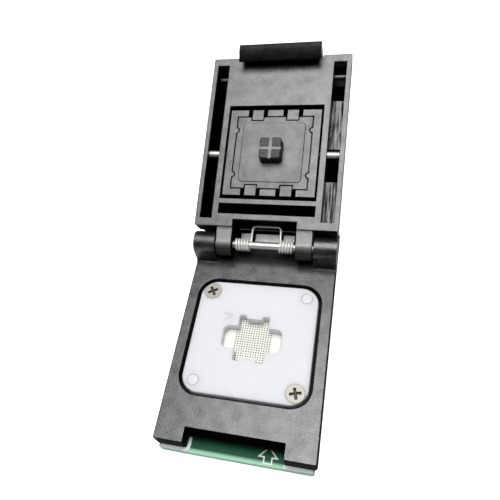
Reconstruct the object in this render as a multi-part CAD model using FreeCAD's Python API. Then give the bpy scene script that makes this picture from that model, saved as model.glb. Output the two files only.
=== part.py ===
import FreeCAD, Part
import math
import os

# Clamshell adapter socket that holds a small grid-array memory chip and plugs
# into a programmer by two rows of four round pins. Millimetres, +Z up.
# Origin: centre of the pin field on the face that seats on the programmer.
# The lid is drawn closed and then swung open about the hinge pin, which is
# its place at rest.

V = FreeCAD.Vector
X_AXIS = V(1, 0, 0)
Z_AXIS = V(0, 0, 1)

# Plug and circuit board
pin_pitch = 2.54
pin_row_spacing = 7.62
pins_per_row = 4
plug_pin_diameter = 0.5
plug_pin_reach = 3.2
plug_barrel_width = 0.64
strip_height = 2.5
strip_width = 2.4
strip_notch = 0.35
board_thickness = 1.6
board_side_margin = 0.5
board_front_lip = 0.8
board_rear = 24.8
board_corner = 0.5

# Base housing
body_width = 30.0
base_height = 3.4
base_front = 21.9
base_corner = 0.5
top_edge_chamfer = 0.2
notch_side_gap = 0.55
notch_depth = 3.0
keeper_reach = 1.3
keeper_drop = 0.6
keeper_thickness = 0.9
keeper_root = 0.2
board_screw_side = 2.5
board_screw_front = 5.5
board_screw_rear = 3.3
board_screw_length = 4.2
board_screw_head_height = 1.2

# Guide plate with the chip window
plate_side_wall = 2.8
plate_corner = 3.5
plate_thickness = 2.2
plate_drop = 0.1
plate_gap = 0.7
plate_edge = 0.15
fastener_inset = 2.35
plate_screw_length = 3.2
screw_diameter = 2.0
screw_head_diameter = 3.6
screw_cross_width = 0.5
screw_cross_span = 2.1
dowel_diameter = 2.1
window_width = 6.1
window_length = 8.4
relief_start = 1.6
relief_reach = 0.75
relief_corner = 0.35
side_arm_span = 11.8
side_arm_width = 4.9
side_arm_corner = 1.2

# Contact field under the chip
contact_columns = 4
contact_rows = 6
contact_pitch = 1.0
contact_width = 0.3
contact_drop = 0.1
carrier_inset = 4.2

# Hinge
hinge_back = 19.7
hinge_rise = 3.3
knuckle_radius = 2.5
hinge_pin_diameter = 1.5
hinge_pin_recess = 0.4
base_ear_width = 4.65
ear_gap = 0.35
lid_ear_width = 3.3
ear_root_round = 0.5
open_angle = 159.0
stop_clearance = 0.12
rear_shelf = 1.4

# Spring web behind the hinge pin, on the base
web_ear_gap = 0.85
web_start = 2.5
web_depth = 1.7
web_height = 1.6
web_front_drop = 0.6
web_slot_width = 0.7

# Hinge torsion spring
spring_wire = 0.5
spring_turns = 5
spring_pitch = 0.6
spring_ear_gap = 0.4
spring_mean_radius = 1.1
loop_reach = 4.45
loop_corner = 0.8
loop_end_gap = 0.12
coil_offset = 0.12
wire_sides = 8
wire_steps_per_turn = 12
loop_corner_steps = 4

# Lid shell
lid_closed_gap = 0.15
lid_thickness = 8.2
lid_rear = 3.12
lid_rear_middle = 4.7
lid_overhang = 0.1
lid_corner = 0.3
lid_step_depth = 4.3
lid_step_inset = 0.4
lid_top_chamfer = 0.25
heel_bar_length = 2.0
side_slot_wall = 1.03
side_slot_width = 2.56
side_slot_rear = 4.8
side_slot_front_margin = 1.7
side_slot_depth = 7.2
pad_depth = 4.3
front_pad_start = 2.35
front_pad_length = 11.25
rear_pad_length = 10.05
rear_slot_start = 5.9
rear_slot_length = 2.2
rear_slot_depth = 5.0
well_depth = 6.0

# Rocking presser in the lid
presser_side_margin = 5.25
presser_side_gap = 0.36
presser_end_gap = 0.85
presser_end_rim = 1.65
presser_thickness = 3.2
presser_recess = 0.3
presser_pin_diameter = 1.5
presser_pin_depth = 1.7
presser_pin_bite = 1.35
presser_pin_margin = 0.6
insert_rim = 1.75
insert_thickness = 1.2
insert_gap = 0.18
insert_border = 1.4
insert_field_corner = 0.9
insert_field_rise = 0.12
insert_notch_depth = 0.5
rim_gap_width = 4.1
hook_width = 2.45
hook_spacing = 7.5
hook_reach = 0.85
nub_radius = 0.55
nub_spacing = 10.0
pusher_width = 4.5
pusher_length = 4.6
pusher_height = 2.5
pusher_corner = 0.5
pusher_groove = 0.65
pusher_groove_depth = 0.15
pusher_root = 0.6
pusher_edge = 0.15

# Latch
latch_width = 17.5
latch_plate_thickness = 1.5
latch_tip_gap = 0.25
latch_overlap = 0.4
latch_under_gap = 0.2
latch_plate_gap = 1.5
latch_tooth_height = 0.4
latch_pivot_back = 3.0
latch_pivot_depth = 3.5
latch_boss_radius = 1.2
latch_cheek_width = 2.2
latch_pin_diameter = 1.0
latch_pin_margin = 0.6
latch_skin = 1.8
latch_side_gap = 0.3
latch_boss_clearance = 0.5
latch_edge_round = 0.4
latch_spring_wire = 0.3
latch_spring_radius = 0.9
latch_spring_turns = 5
latch_spring_sides = 5
latch_spring_steps_per_turn = 7
latch_spring_spacing = 7.0
latch_spring_rise = 2.4

# Fits between pieces that touch or turn
seat_gap = 0.05
press_gap = 0.01
running_gap = 0.05

# How far a cutting block runs past the face that it opens
overshoot = 1.0

# How closely an edge has to lie at a height or length to be picked
pick_tolerance = 0.01

# Degrees
right_angle = 90.0
full_turn = 360.0

# Heights and places that follow from the sizes above
board_bottom = strip_height
board_top = board_bottom + board_thickness
base_top = board_top + base_height
board_width = body_width - 2 * board_side_margin
board_front = base_front + board_front_lip
board_screw_x = body_width / 2 - board_screw_side
board_screw_ys = (-base_front + board_screw_front, hinge_back - board_screw_rear)
notch_width = latch_width + 2 * notch_side_gap
plate_size = body_width - 2 * plate_side_wall
fastener_place = plate_size / 2 - fastener_inset
carrier_size = plate_size - 2 * carrier_inset
plate_top = base_top - plate_drop
pocket_floor = plate_top - plate_thickness
recess_size = plate_size + 2 * plate_gap
recess_corner = plate_corner + plate_gap
half_body = body_width / 2
notch_rear = -base_front + notch_depth
keeper_front = notch_rear - keeper_reach
keeper_bottom = base_top - keeper_drop - keeper_thickness
hinge_z = base_top + hinge_rise
base_ear_inner = half_body - base_ear_width
lid_ear_outer = base_ear_inner - ear_gap
lid_ear_inner = lid_ear_outer - lid_ear_width
web_half_width = lid_ear_inner - web_ear_gap
coil_turns = spring_turns - (open_angle - right_angle) / full_turn
coil_outer = lid_ear_inner - spring_ear_gap - spring_wire / 2
loop_half_width = coil_outer - coil_turns * spring_pitch - coil_offset
loop_bend = min(loop_corner, loop_half_width - seat_gap)
inner_face = -hinge_rise + lid_closed_gap
lid_top = inner_face + lid_thickness
lid_end = hinge_back + base_front + lid_overhang
swing = math.radians(-open_angle)
heel_out = (lid_rear + lid_step_inset) * -math.cos(swing) - lid_top * math.sin(swing)
heel_up = (lid_rear + lid_step_inset) * -math.sin(swing) + lid_top * math.cos(swing)
shelf_top = hinge_z + heel_up - stop_clearance
base_rear = hinge_back + heel_out + rear_shelf
presser_width = body_width - 2 * presser_side_margin
well_width = presser_width + 2 * presser_side_gap
side_slot_outer = half_body - side_slot_wall
presser_pin_inner = presser_width / 2 - presser_pin_bite
presser_pin_outer = half_body - presser_pin_margin
insert_size = presser_width - 2 * insert_rim
presser_length = insert_size + 2 * presser_end_rim
well_length = presser_length + 2 * presser_end_gap
insert_field_size = insert_size - 2 * insert_border
presser_centre = hinge_back
presser_face = inner_face + presser_recess
presser_axis = inner_face + presser_pin_depth
latch_inner = hinge_back - keeper_front + latch_plate_gap
latch_outer = latch_inner + latch_plate_thickness
latch_tip = -hinge_rise - base_height + latch_tip_gap
latch_catch = keeper_bottom - latch_under_gap - hinge_z
latch_tooth = hinge_back - keeper_front - latch_overlap
latch_pivot_s = latch_inner - latch_pivot_back
latch_pocket_rear = latch_pivot_s - latch_boss_radius - latch_boss_clearance
latch_pivot_w = inner_face + latch_pivot_depth
latch_floor = inner_face + latch_skin


def block(x0, x1, y0, y1, z0, z1):
    """Box between two corners."""
    return Part.makeBox(x1 - x0, y1 - y0, z1 - z0, V(x0, y0, z0))


def rounded_block(width, length, corner, z0, z1, x=0.0, y=0.0):
    """Upright prism with a rectangular plan and round corners."""
    hw = width / 2
    hl = length / 2
    k = corner * (1 - math.sqrt(0.5))
    edges = []
    for sx, sy in ((1, 1), (-1, 1), (-1, -1), (1, -1)):
        a = V(x + sx * hw, y + sy * (hl - corner), z0)
        b = V(x + sx * (hw - corner), y + sy * hl, z0)
        m = V(x + sx * (hw - k), y + sy * (hl - k), z0)
        if sx * sy < 0:
            a, b = b, a
        edges.append((a, m, b))
    wire = []
    for i, (a, m, b) in enumerate(edges):
        wire.append(Part.Arc(a, m, b).toShape())
        wire.append(Part.LineSegment(b, edges[(i + 1) % 4][0]).toShape())
    return Part.Face(Part.Wire(wire)).extrude(V(0, 0, z1 - z0))


def cylinder(radius, start, end):
    """Round bar from one point to another."""
    way = end - start
    return Part.makeCylinder(radius, way.Length, start, way)


def x_cylinder(radius, x0, x1, y, z):
    """Round bar along X."""
    return cylinder(radius, V(x0, y, z), V(x1, y, z))


def side_prism(points, x0, x1):
    """Prism along X over a closed outline of (y, z) points."""
    ring = [V(x0, y, z) for y, z in points]
    return Part.Face(Part.makePolygon(ring + ring[:1])).extrude(V(x1 - x0, 0, 0))


def closed(s, w):
    """Place (y, z) of a point s in front of the hinge pin and w above it, lid closed."""
    return hinge_back - s, hinge_z + w


def lid_prism(points, x0, x1):
    """Prism along X over an outline of (s, w) points, drawn with the lid closed."""
    return side_prism([closed(s, w) for s, w in points], x0, x1)


def lid_block(x0, x1, s0, s1, w0, w1):
    """Box in the closed lid."""
    y1, z0 = closed(s0, w0)
    y0, z1 = closed(s1, w1)
    return block(x0, x1, y0, y1, z0, z1)


def swung_open(shape):
    """The same shape after the lid has swung open."""
    turned = shape.copy()
    turned.rotate(V(0, hinge_back, hinge_z), X_AXIS, -open_angle)
    return turned


def mirrored(shape):
    """The same shape on the other side of the middle plane."""
    return shape.mirror(V(0, 0, 0), X_AXIS)


def helix_points(radius, pitch, turns, steps_per_turn):
    """Points of a helix about Z, starting on +X and climbing along +Z."""
    count = math.ceil(turns * steps_per_turn)
    points = []
    for i in range(count + 1):
        angle = 2 * math.pi * turns * i / count
        points.append(V(radius * math.cos(angle), radius * math.sin(angle), pitch * turns * i / count))
    return points


def bent_wire(points, radius, sides):
    """Many-sided wire along straight runs, mitred where two runs meet."""
    runs = [(b - a).normalize() for a, b in zip(points, points[1:])]
    across = runs[0].cross(Z_AXIS if abs(runs[0].z) < 0.9 else X_AXIS).normalize()
    other = runs[0].cross(across)
    ring = []
    for i in range(sides):
        angle = 2 * math.pi * (i + 0.5) / sides
        ring.append(points[0] + across * (radius * math.cos(angle)) + other * (radius * math.sin(angle)))
    faces = [Part.Face(Part.makePolygon(ring[::-1] + ring[-1:]))]
    for i, run in enumerate(runs):
        mitre = run + runs[i + 1] if i + 1 < len(runs) else run
        ahead = [p + run * ((points[i + 1] - p).dot(mitre) / run.dot(mitre)) for p in ring]
        for j in range(sides):
            k = (j + 1) % sides
            faces.append(Part.Face(Part.makePolygon([ring[j], ring[k], ahead[k], ahead[j], ring[j]])))
        ring = ahead
    faces.append(Part.Face(Part.makePolygon(ring + ring[:1])))
    shell = Part.makeShell(faces)
    shell.sewShape()
    solid = Part.makeSolid(shell)
    if solid.Volume < 0:
        solid.reverse()
    return solid


def save(name, *solids):
    """Write one sub-part and print its size."""
    shape = solids[0] if len(solids) == 1 else Part.makeCompound(list(solids))
    bad = [s for s in shape.Solids if not s.isValid() or s.Volume <= 0]
    print(name, "solids", len(shape.Solids), "mm3", round(shape.Volume, 3), "bad", len(bad))
    shape.exportStep("parts/" + name + ".step")


def board_screw_places():
    """The four screws between board and housing."""
    return [(side * board_screw_x, y) for side in (-1, 1) for y in board_screw_ys]


def pin_places(side):
    """Plug pin centres in the row on one side."""
    first = -(pins_per_row - 1) * pin_pitch / 2
    return [(side * pin_row_spacing / 2, first + i * pin_pitch) for i in range(pins_per_row)]


def contact_places():
    """Contact centres of the whole field."""
    x0 = -(contact_columns - 1) * contact_pitch / 2
    y0 = -(contact_rows - 1) * contact_pitch / 2
    return [(x0 + i * contact_pitch, y0 + j * contact_pitch)
            for i in range(contact_columns) for j in range(contact_rows)]


def make_plug_pins(side):
    """One row of plug pins: round below the strip, with a square barrel inside it."""
    pins = []
    h = plug_barrel_width / 2
    for x, y in pin_places(side):
        barrel = block(x - h, x + h, y - h, y + h, 0, board_bottom - press_gap)
        pins.append(cylinder(plug_pin_diameter / 2, V(x, y, -plug_pin_reach), V(x, y, 0)).fuse(barrel))
    return pins


def make_pin_strip(side):
    """Plastic strip that carries one row of pins, notched between the pins."""
    x = side * pin_row_spacing / 2
    length = pins_per_row * pin_pitch
    strip = block(x - strip_width / 2, x + strip_width / 2, -length / 2, length / 2, 0, strip_height)
    for i in range(1, pins_per_row):
        y = -length / 2 + i * pin_pitch
        for edge in (-1, 1):
            centre = V(x + edge * strip_width / 2, y, 0)
            cutter = Part.makeBox(2 * strip_notch, 2 * strip_notch, strip_height, centre)
            cutter.rotate(centre, Z_AXIS, 45)
            cutter.translate(V(0, -strip_notch * math.sqrt(2), 0))
            strip = strip.cut(cutter)
    h = plug_barrel_width / 2 + press_gap
    for px, py in pin_places(side):
        strip = strip.cut(block(px - h, px + h, py - h, py + h, 0, strip_height))
    return strip


def make_board():
    """Circuit board with the holes of the four housing screws."""
    length = board_front + board_rear
    middle = (board_rear - board_front) / 2
    board = rounded_block(board_width, length, board_corner, board_bottom, board_top, 0, middle)
    for x, y in board_screw_places():
        hole = cylinder(screw_diameter / 2 + seat_gap, V(x, y, board_bottom), V(x, y, board_top))
        board = board.cut(hole)
    return board


def make_board_screws():
    """Low-head screws that hold the housing to the board from below."""
    screws = []
    for x, y in board_screw_places():
        head_low = board_bottom - board_screw_head_height
        head = cylinder(screw_head_diameter / 2, V(x, y, head_low), V(x, y, board_bottom))
        shank = cylinder(screw_diameter / 2, V(x, y, board_bottom), V(x, y, board_bottom + board_screw_length))
        screws.append(head.fuse(shank).removeSplitter())
    return screws


def base_ear(sign):
    """Outer hinge ear: an upright tongue with a round top, rooted in the base."""
    x0 = base_ear_inner if sign > 0 else -half_body
    x1 = x0 + base_ear_width
    low = min(board_top, shelf_top)
    stem = block(x0, x1, hinge_back - knuckle_radius, hinge_back + knuckle_radius, low, hinge_z)
    ear = stem.fuse(x_cylinder(knuckle_radius, x0, x1, hinge_back, hinge_z))
    root = block(x0, x1, hinge_back - knuckle_radius - ear_root_round, hinge_back - knuckle_radius,
                 base_top - top_edge_chamfer, base_top + ear_root_round)
    hollow = x_cylinder(ear_root_round, x0, x1, hinge_back - knuckle_radius - ear_root_round,
                        base_top + ear_root_round)
    return ear.fuse(root.cut(hollow))


def make_base_housing():
    """Moulded base: plate recess, contact opening, latch notch, hinge ears and spring web."""
    front_length = base_front + hinge_back + knuckle_radius
    middle = (hinge_back + knuckle_radius - base_front) / 2
    body = rounded_block(body_width, front_length, base_corner, board_top, base_top, 0, middle)
    top_edges = [e for e in body.Edges if abs(e.BoundBox.ZMin - base_top) < pick_tolerance]
    body = body.makeChamfer(top_edge_chamfer, top_edges)
    shelf_start = hinge_back - knuckle_radius
    shelf = block(-half_body, half_body, shelf_start, base_rear, board_top, min(shelf_top, base_top))
    body = body.fuse(shelf)
    for sign in (-1, 1):
        body = body.fuse(base_ear(sign))
    web_y = hinge_back + web_start
    web_top = base_top + web_height
    web_side = [(web_y, board_top), (web_y + web_depth, board_top), (web_y + web_depth, web_top),
                (web_y, web_top - web_front_drop)]
    web = side_prism(web_side, -web_half_width, web_half_width)
    for sign in (-1, 1):
        slot_mid = sign * loop_half_width
        web = web.cut(block(slot_mid - web_slot_width / 2, slot_mid + web_slot_width / 2,
                            web_y - overshoot, web_y + web_depth + overshoot,
                            base_top, web_top + overshoot))
    body = body.fuse(web)
    half_notch = notch_width / 2
    body = body.cut(block(-half_notch, half_notch, -base_front - overshoot, notch_rear,
                          board_top - overshoot, base_top + overshoot))
    keeper = block(-half_notch, half_notch, keeper_front, notch_rear + keeper_root,
                   keeper_bottom, keeper_bottom + keeper_thickness)
    body = body.fuse(keeper)
    body = body.cut(rounded_block(recess_size, recess_size, recess_corner, pocket_floor, base_top + overshoot))
    opening = carrier_size + 2 * seat_gap
    body = body.cut(block(-opening / 2, opening / 2, -opening / 2, opening / 2, board_top - overshoot, base_top))
    pin_bore = hinge_pin_diameter / 2 + press_gap
    body = body.cut(x_cylinder(pin_bore, -half_body - overshoot, half_body + overshoot, hinge_back, hinge_z))
    for x, y in board_screw_places():
        end = board_bottom + board_screw_length + seat_gap
        body = body.cut(cylinder(screw_diameter / 2 + press_gap, V(x, y, board_top - overshoot), V(x, y, end)))
    for x, y in plate_screw_places():
        low = V(x, y, plate_top - plate_screw_length - seat_gap)
        body = body.cut(cylinder(screw_diameter / 2 + press_gap, low, V(x, y, base_top)))
    for x, y in dowel_places():
        low = V(x, y, board_top + seat_gap)
        body = body.cut(cylinder(dowel_diameter / 2 + press_gap, low, V(x, y, base_top)))
    return body.removeSplitter()


def plate_screw_places():
    """The two opposite corners of the guide plate that are screwed."""
    h = fastener_place
    return [(-h, h), (h, -h)]


def dowel_places():
    """The two opposite corners of the guide plate that are dowelled."""
    h = fastener_place
    return [(h, h), (-h, -h)]


def make_guide_plate():
    """White plate with the cross-shaped chip window and its four fastener holes."""
    plate = rounded_block(plate_size, plate_size, plate_corner, pocket_floor, plate_top)
    rim = [e for e in plate.Edges if abs(e.BoundBox.ZMin - plate_top) < pick_tolerance]
    plate = plate.makeChamfer(plate_edge, rim)
    low = pocket_floor - overshoot
    high = plate_top + overshoot
    window = block(-window_width / 2, window_width / 2, -window_length / 2, window_length / 2, low, high)
    arms = rounded_block(side_arm_span, side_arm_width, side_arm_corner, low, high)
    plate = plate.cut(window.fuse(arms))
    relief_width = window_width / 2 - relief_start
    relief_middle = window_width / 2 - relief_width / 2
    for side in (-1, 1):
        relief = rounded_block(relief_width, window_length + 2 * relief_reach, relief_corner, low, high,
                               side * relief_middle)
        plate = plate.cut(relief)
    sink = (screw_head_diameter - screw_diameter) / 2
    for x, y in plate_screw_places():
        hole = cylinder(screw_diameter / 2 + seat_gap, V(x, y, low), V(x, y, plate_top))
        seat = Part.makeCone(screw_diameter / 2 + seat_gap, screw_head_diameter / 2 + seat_gap, sink,
                             V(x, y, plate_top - sink))
        plate = plate.cut(hole.fuse(seat))
    for x, y in dowel_places():
        plate = plate.cut(cylinder(dowel_diameter / 2 + seat_gap, V(x, y, low), V(x, y, high)))
    return plate


def make_plate_screws():
    """Countersunk cross-recess screws, heads flush with the guide plate."""
    screws = []
    sink = (screw_head_diameter - screw_diameter) / 2
    for x, y in plate_screw_places():
        head = Part.makeCone(screw_diameter / 2, screw_head_diameter / 2, sink, V(x, y, plate_top - sink))
        shank = cylinder(screw_diameter / 2, V(x, y, plate_top - plate_screw_length), V(x, y, plate_top - sink))
        screw = head.fuse(shank)
        for turn in (0, 90):
            slot = block(-screw_cross_span / 2, screw_cross_span / 2, -screw_cross_width / 2,
                         screw_cross_width / 2, -sink / 2, overshoot)
            slot.rotate(V(0, 0, 0), Z_AXIS, turn)
            slot.translate(V(x, y, plate_top))
            screw = screw.cut(slot)
        screws.append(screw.removeSplitter())
    return screws


def make_dowels():
    """Locating dowels at the other two corners, flush with the guide plate."""
    return [cylinder(dowel_diameter / 2, V(x, y, board_top + seat_gap), V(x, y, plate_top))
            for x, y in dowel_places()]


def make_contact_carrier():
    """Cream insulator that holds the contacts between the board and the guide plate."""
    h = carrier_size / 2
    carrier = block(-h, h, -h, h, board_top, pocket_floor)
    g = contact_width / 2 + press_gap
    slots = [block(x - g, x + g, y - g, y + g, board_top, pocket_floor) for x, y in contact_places()]
    return carrier.cut(Part.makeCompound(slots))


def make_contacts():
    """Square spring contacts with tapered tips, a little below the pocket floor."""
    contacts = []
    h = contact_width / 2
    top = pocket_floor - contact_drop
    for x, y in contact_places():
        body = block(x - h, x + h, y - h, y + h, board_top, top)
        tip = [e for e in body.Edges if abs(e.BoundBox.ZMin - top) < pick_tolerance]
        contacts.append(body.makeChamfer(h / 2, tip))
    return contacts


def make_hinge_pin():
    """Plain steel hinge pin, recessed at both outer faces."""
    end = half_body - hinge_pin_recess
    return x_cylinder(hinge_pin_diameter / 2, -end, end, hinge_back, hinge_z)


def make_spring_coil(sign):
    """Coil on one end of the hinge pin, with its tail down to the base behind the pin."""
    r = spring_mean_radius
    tail_end = V(r, base_top + seat_gap - hinge_z, 0)
    points = [tail_end] + helix_points(r, spring_pitch, coil_turns, wire_steps_per_turn)
    spring = bent_wire(points, spring_wire / 2, wire_sides)
    spring.rotate(V(0, 0, 0), V(1, 1, 1), 120)
    spring.translate(V(-coil_outer, hinge_back, hinge_z))
    return mirrored(spring) if sign > 0 else spring


def make_spring_loop():
    """Middle loop of the hinge spring, bearing in the lid's rear face."""
    half = loop_half_width
    bend = []
    for i in range(loop_corner_steps + 1):
        angle = math.pi / 2 * i / loop_corner_steps
        bend.append((half - loop_bend * (1 - math.cos(angle)), loop_reach - loop_bend * (1 - math.sin(angle))))
    side = [(half, loop_end_gap)] + bend
    outline = side + [(-x, s) for x, s in reversed(side)]
    points = []
    for x, s in outline:
        y, z = closed(s, spring_mean_radius)
        points.append(V(x, y, z))
    return swung_open(bent_wire(points, spring_wire / 2, wire_sides))


def lid_ear(sign):
    """Inner hinge ear: round end about the pin, flaring into the lid's rear edge."""
    x0 = lid_ear_inner if sign > 0 else -lid_ear_outer
    x1 = x0 + lid_ear_width
    knuckle = x_cylinder(knuckle_radius, x0, x1, hinge_back, hinge_z)
    r = knuckle_radius
    root = lid_rear_middle + overshoot
    flare = lid_prism([(0, -r), (root, -r), (root, r), (0, r)], x0, x1)
    reach = math.hypot(lid_rear_middle, inner_face)
    foot = math.asin(-inner_face / reach) + math.acos(r / reach) - math.pi / 2
    low = [(r * math.sin(foot), -r * math.cos(foot)), (lid_rear_middle, inner_face),
           (lid_rear_middle, -r / 2), (0, -r / 2)]
    return knuckle.fuse(flare).fuse(lid_prism(low, x0, x1))


def make_lid_housing():
    """Moulded lid with the presser well, side slots, rear slot and latch pocket."""
    rear_y = hinge_back - lid_rear
    end_y = hinge_back - lid_end
    length = rear_y - end_y
    middle = (rear_y + end_y) / 2
    face_z = hinge_z + inner_face
    top_z = hinge_z + lid_top
    step_z = face_z + lid_step_depth
    lower = rounded_block(body_width, length, lid_corner, face_z, step_z, 0, middle)
    inset = 2 * lid_step_inset
    upper = rounded_block(body_width - inset, length - inset, lid_corner, step_z, top_z, 0, middle)
    crown = [e for e in upper.Edges if abs(e.BoundBox.ZMin - top_z) < pick_tolerance]
    upper = upper.makeChamfer(lid_top_chamfer, crown)
    heel_half = half_body - lid_step_inset
    heel_s = lid_rear + lid_step_inset
    upper = upper.fuse(lid_block(-heel_half, heel_half, heel_s, heel_s + heel_bar_length,
                                 inner_face + lid_step_depth, lid_top))
    lid = lower.fuse(upper).removeSplitter()
    below = inner_face - overshoot
    above = lid_top + overshoot
    lid = lid.cut(lid_block(-lid_ear_inner, lid_ear_inner, 0, lid_rear_middle, below, above))
    for sign in (-1, 1):
        lid = lid.fuse(lid_ear(sign))
    groove = x_cylinder(spring_wire / 2 + seat_gap, -loop_half_width - spring_wire,
                        loop_half_width + spring_wire, *closed(loop_reach, spring_mean_radius))
    lid = lid.cut(groove)
    half_well = well_length / 2
    lid = lid.cut(lid_block(-well_width / 2, well_width / 2, presser_centre - half_well,
                            presser_centre + half_well, below, inner_face + well_depth))
    lid = lid.cut(lid_block(-well_width / 2, well_width / 2, rear_slot_start,
                            rear_slot_start + rear_slot_length, below, inner_face + rear_slot_depth))
    slot_front = lid_end - side_slot_front_margin
    front_pad = presser_centre + front_pad_start
    deep = inner_face + side_slot_depth
    shallow = inner_face + pad_depth
    runs = [
        (side_slot_rear, side_slot_rear + rear_pad_length, shallow),
        (side_slot_rear + rear_pad_length, front_pad, deep),
        (front_pad, front_pad + front_pad_length, shallow),
        (front_pad + front_pad_length, slot_front, deep),
    ]
    for s0, s1, floor in runs:
        pocket = lid_block(side_slot_outer - side_slot_width, side_slot_outer, s0, s1, below, floor)
        lid = lid.cut(pocket).cut(mirrored(pocket))
    half_pocket = latch_width / 2 + latch_side_gap
    end = lid_end + overshoot
    lid = lid.cut(lid_block(-half_pocket, half_pocket, latch_pocket_rear, end, latch_floor, above))
    lid = lid.cut(lid_block(-half_pocket, half_pocket, latch_inner - latch_side_gap, end,
                            below, latch_floor + overshoot))
    y, z = closed(presser_centre, presser_axis)
    for sign in (-1, 1):
        ends = sorted((sign * (well_width / 2 - overshoot), sign * (presser_pin_outer + press_gap)))
        lid = lid.cut(x_cylinder(presser_pin_diameter / 2 + press_gap, ends[0], ends[1], y, z))
    y, z = closed(latch_pivot_s, latch_pivot_w)
    pin_end = half_body - latch_pin_margin
    lid = lid.cut(x_cylinder(latch_pin_diameter / 2 + press_gap, -pin_end, pin_end, y, z))
    bore = hinge_pin_diameter / 2 + running_gap
    lid = lid.cut(x_cylinder(bore, -lid_ear_outer - overshoot, lid_ear_outer + overshoot, hinge_back, hinge_z))
    return swung_open(lid.removeSplitter())


def make_presser_pin(sign):
    """Stub pin that carries one side of the presser, visible across the side slot."""
    ends = sorted((sign * presser_pin_inner, sign * presser_pin_outer))
    y, z = closed(presser_centre, presser_axis)
    return swung_open(x_cylinder(presser_pin_diameter / 2, ends[0], ends[1], y, z))


def presser_box(x0, x1, s0, s1, depth0, depth1):
    """Box in the presser, its places counted from the presser's centre and face."""
    return lid_block(x0, x1, presser_centre + s0, presser_centre + s1, presser_face + depth0, presser_face + depth1)


def make_presser_carrier():
    """Rocking frame: rim, four snap hooks and the bearings of the stub pins."""
    hw = presser_width / 2
    hl = presser_length / 2
    body = presser_box(-hw, hw, -hl, hl, 0, presser_thickness)
    pocket = insert_size / 2 + insert_gap
    body = body.cut(presser_box(-pocket, pocket, -pocket, pocket, -overshoot, insert_thickness))
    for end in (-1, 1):
        for side in (-1, 1):
            x = side * hook_spacing / 2
            rim = sorted((end * pocket, end * (hl + overshoot)))
            body = body.cut(presser_box(x - rim_gap_width / 2, x + rim_gap_width / 2, rim[0], rim[1],
                                        -overshoot, presser_thickness + overshoot))
            post = sorted((end * pocket, end * hl))
            hook = presser_box(x - hook_width / 2, x + hook_width / 2, post[0], post[1], 0, presser_thickness)
            nose = sorted((end * (insert_size / 2 - hook_reach + insert_gap), end * hl))
            hook = hook.fuse(presser_box(x - hook_width / 2, x + hook_width / 2, nose[0], nose[1],
                                         0, insert_notch_depth - seat_gap))
            body = body.fuse(hook)
    for side in (-1, 1):
        for end in (-1, 1):
            y, z = closed(presser_centre + end * nub_spacing / 2, presser_face)
            nub = cylinder(nub_radius, V(side * pocket, y, z), V(side * pocket, y, z + insert_thickness))
            body = body.fuse(nub)
        ends = sorted((side * (presser_pin_inner - seat_gap), side * (hw + overshoot)))
        y, z = closed(presser_centre, presser_axis)
        body = body.cut(x_cylinder(presser_pin_diameter / 2 + running_gap, ends[0], ends[1], y, z))
    return swung_open(body.removeSplitter())


def make_presser_plate():
    """Square insert held by the hooks, with a raised field and the seat of the chip pusher."""
    h = insert_size / 2
    plate = presser_box(-h, h, -h, h, 0, insert_thickness - seat_gap)
    field_y = hinge_back - presser_centre
    face_z = hinge_z + presser_face
    field = rounded_block(insert_field_size, insert_field_size, insert_field_corner,
                          face_z - insert_field_rise, face_z + insert_field_rise, 0, field_y)
    plate = plate.fuse(field)
    for end in (-1, 1):
        for side in (-1, 1):
            x = side * hook_spacing / 2
            half = hook_width / 2 + insert_gap
            notch = sorted((end * (h - hook_reach), end * (h + overshoot)))
            plate = plate.cut(presser_box(x - half, x + half, notch[0], notch[1], -overshoot, insert_notch_depth))
            y, z = closed(presser_centre + end * nub_spacing / 2, presser_face)
            centre = side * (h + insert_gap)
            low = V(centre, y, z - overshoot)
            plate = plate.cut(cylinder(nub_radius + insert_gap, low, V(centre, y, z + insert_thickness)))
    seat = rounded_block(pusher_width + 2 * seat_gap, pusher_length + 2 * seat_gap, pusher_corner,
                         face_z - overshoot, face_z + pusher_root, 0, field_y)
    return swung_open(plate.cut(seat).removeSplitter())


def make_chip_pusher():
    """Block that presses on the chip, its tip split into four pads by a cross groove."""
    y = hinge_back - presser_centre
    face_z = hinge_z + presser_face
    tip_z = face_z - pusher_height
    body = rounded_block(pusher_width, pusher_length, pusher_corner, tip_z, face_z + pusher_root - seat_gap, 0, y)
    tip = [e for e in body.Edges if abs(e.BoundBox.ZMax - tip_z) < pick_tolerance]
    body = body.makeChamfer(pusher_edge, tip)
    g = pusher_groove / 2
    floor = tip_z + pusher_groove_depth
    body = body.cut(block(-g, g, y - pusher_length, y + pusher_length, tip_z - overshoot, floor))
    body = body.cut(block(-pusher_width, pusher_width, y - g, y + g, tip_z - overshoot, floor))
    return swung_open(body)


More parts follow.
